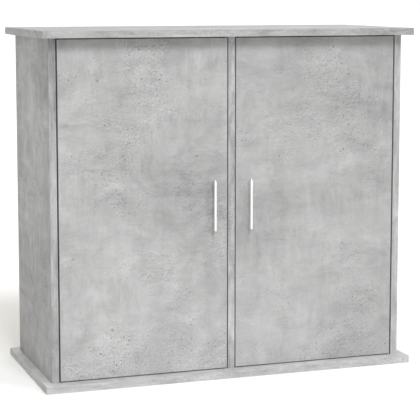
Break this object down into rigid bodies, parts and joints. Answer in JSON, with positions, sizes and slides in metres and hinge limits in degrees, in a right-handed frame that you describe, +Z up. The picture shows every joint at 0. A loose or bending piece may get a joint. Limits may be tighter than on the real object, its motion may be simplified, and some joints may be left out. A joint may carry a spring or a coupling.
{
  "type": "aquarium stand cabinet",
  "caption": "Low cabinet for an aquarium: flat overhanging top and base boards, side panels and a divider, inset doors with bar handles, shelves and a back with hose outlets.",
  "frame": {"origin": "middle of the footprint, on the floor", "axes": "+X to the right seen from the front, +Y to the back, +Z up; the doors face -Y"},
  "size_m": [0.81, 0.36, 0.73],
  "materials": {
    "concrete_board": "concrete-look melamine on particle board, matt",
    "hardboard": "grey-lacquered thin hardboard, matt",
    "handle_metal": "polished bright metal",
    "zinc_plated_steel": "zinc plated",
    "nickel_plated_steel": "nickel plated, satin",
    "cam_zinc": "die-cast zinc, dull",
    "beech": "raw fluted beech",
    "white_plastic": "moulded, fine texture",
    "magnet": "bare ferrite, matt"
  },
  "bodies": {
    "cabinet": {"top_board": "concrete_board", "base_board": "concrete_board", "side_panel_left": "concrete_board", "side_panel_right": "concrete_board", "centre_divider": "concrete_board", "back_panel": "hardboard", "shelf_left": "concrete_board", "shelf_right": "concrete_board", "cam_locks": "cam_zinc", "cam_bolts": "zinc_plated_steel", "dowels": "beech", "shelf_pins": "zinc_plated_steel", "back_nails": "zinc_plated_steel", "hinge_plate_screws": "zinc_plated_steel", "hinge_arm_screws": "zinc_plated_steel", "catch_magnets": "magnet", "catch_screws": "zinc_plated_steel", "catch_housing_left": "white_plastic", "hinge_arm_left_lower": "nickel_plated_steel", "hinge_plate_left_lower": "nickel_plated_steel", "hinge_arm_left_upper": "nickel_plated_steel", "hinge_plate_left_upper": "nickel_plated_steel", "catch_housing_right": "white_plastic", "hinge_arm_right_lower": "nickel_plated_steel", "hinge_plate_right_lower": "nickel_plated_steel", "hinge_arm_right_upper": "nickel_plated_steel", "hinge_plate_right_upper": "nickel_plated_steel"},
    "door_left": {"door_left": "concrete_board", "handle_left": "handle_metal", "handle_screws_left": "zinc_plated_steel", "hinge_cup_left_lower": "nickel_plated_steel", "hinge_cup_left_upper": "nickel_plated_steel", "hinge_pins_left": "zinc_plated_steel", "hinge_cup_screws_left": "zinc_plated_steel", "strike_plate_left": "zinc_plated_steel", "strike_screw_left": "zinc_plated_steel"},
    "door_right": {"door_right": "concrete_board", "handle_right": "handle_metal", "handle_screws_right": "zinc_plated_steel", "hinge_cup_right_lower": "nickel_plated_steel", "hinge_cup_right_upper": "nickel_plated_steel", "hinge_pins_right": "zinc_plated_steel", "hinge_cup_screws_right": "zinc_plated_steel", "strike_plate_right": "zinc_plated_steel", "strike_screw_right": "zinc_plated_steel"}
  },
  "joints": [
    {"name": "door_left_hinge", "type": "hinge", "parent": "cabinet", "child": "door_left", "pos_m": [-0.3555, -0.1475, 0.365], "axis": [0, 0, -1], "range_deg": [0, 100]},
    {"name": "door_right_hinge", "type": "hinge", "parent": "cabinet", "child": "door_right", "pos_m": [0.3555, -0.1475, 0.365], "axis": [0, 0, 1], "range_deg": [0, 100]}
  ]
}
